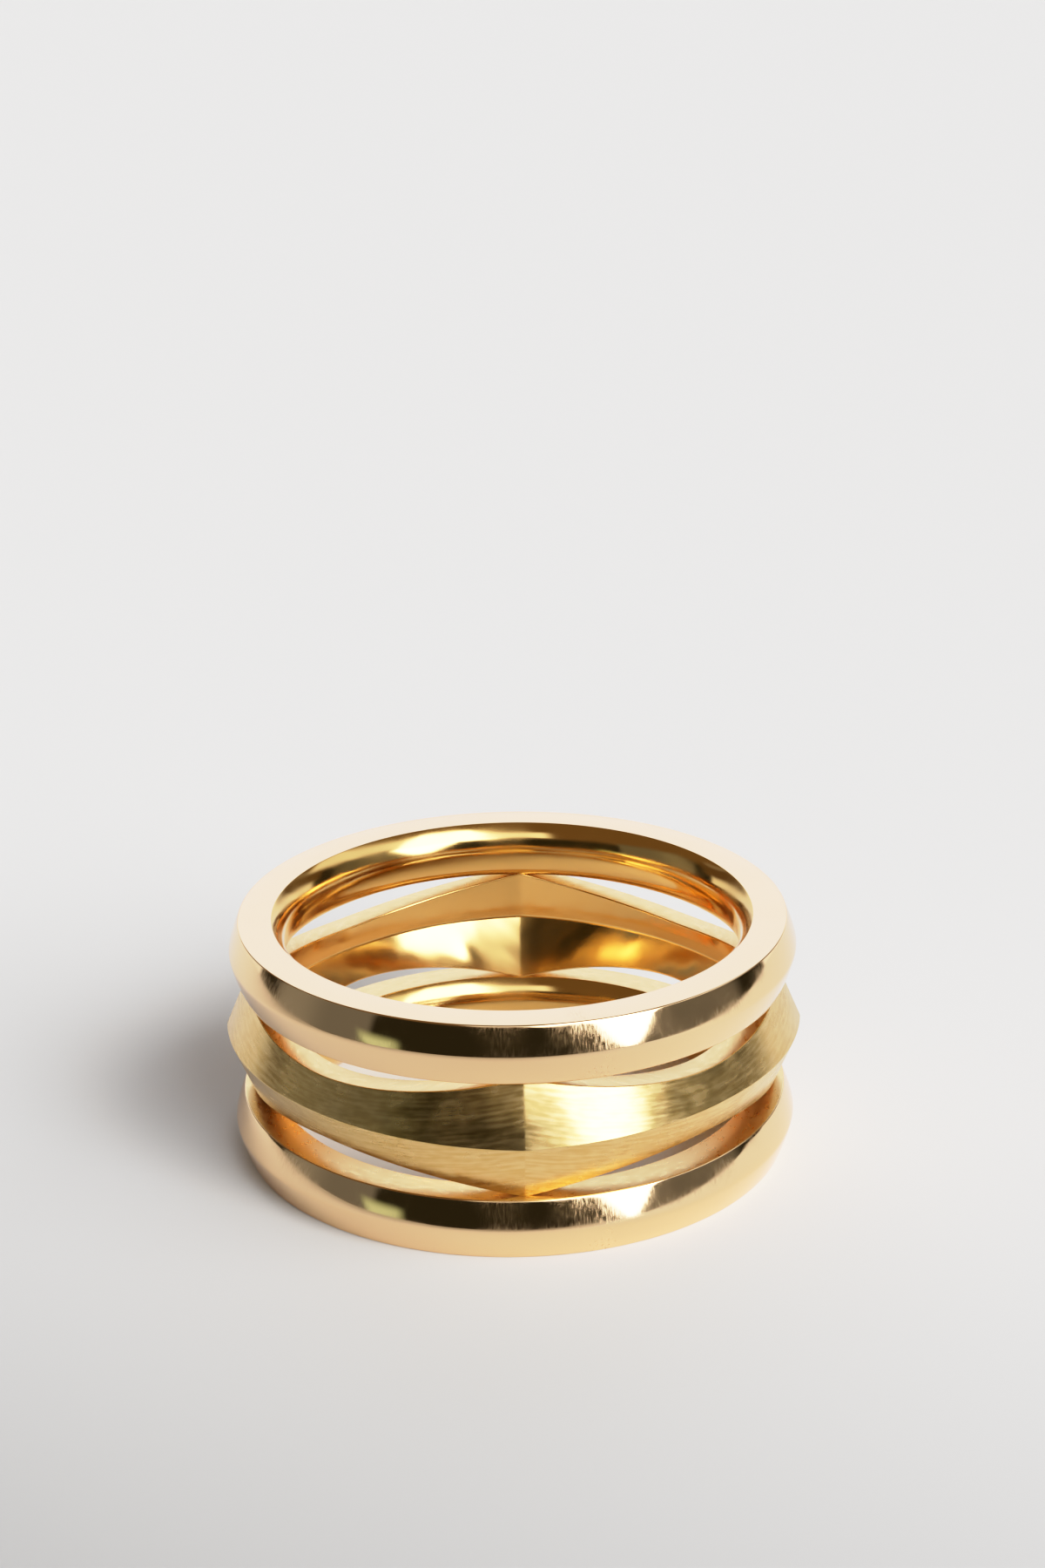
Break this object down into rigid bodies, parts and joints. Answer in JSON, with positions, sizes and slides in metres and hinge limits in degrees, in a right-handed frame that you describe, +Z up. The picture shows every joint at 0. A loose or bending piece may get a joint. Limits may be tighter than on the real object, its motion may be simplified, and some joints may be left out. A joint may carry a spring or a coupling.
{
  "type": "triple band ring",
  "caption": "Finger ring of stacked coaxial bands: polished outer bands soldered to a faceted satin wave band between them.",
  "frame": {"origin": "centre of the foot that the ring rests on, on its axis", "axes": "+Z up along the axis of the finger hole, -Y toward the front node of the middle band"},
  "size_m": [0.0206, 0.0206, 0.0085],
  "materials": {
    "polished_gold": "polished yellow gold"
  },
  "bodies": {
    "root": {"three_soldered_bands": "polished_gold"}
  },
  "joints": []
}
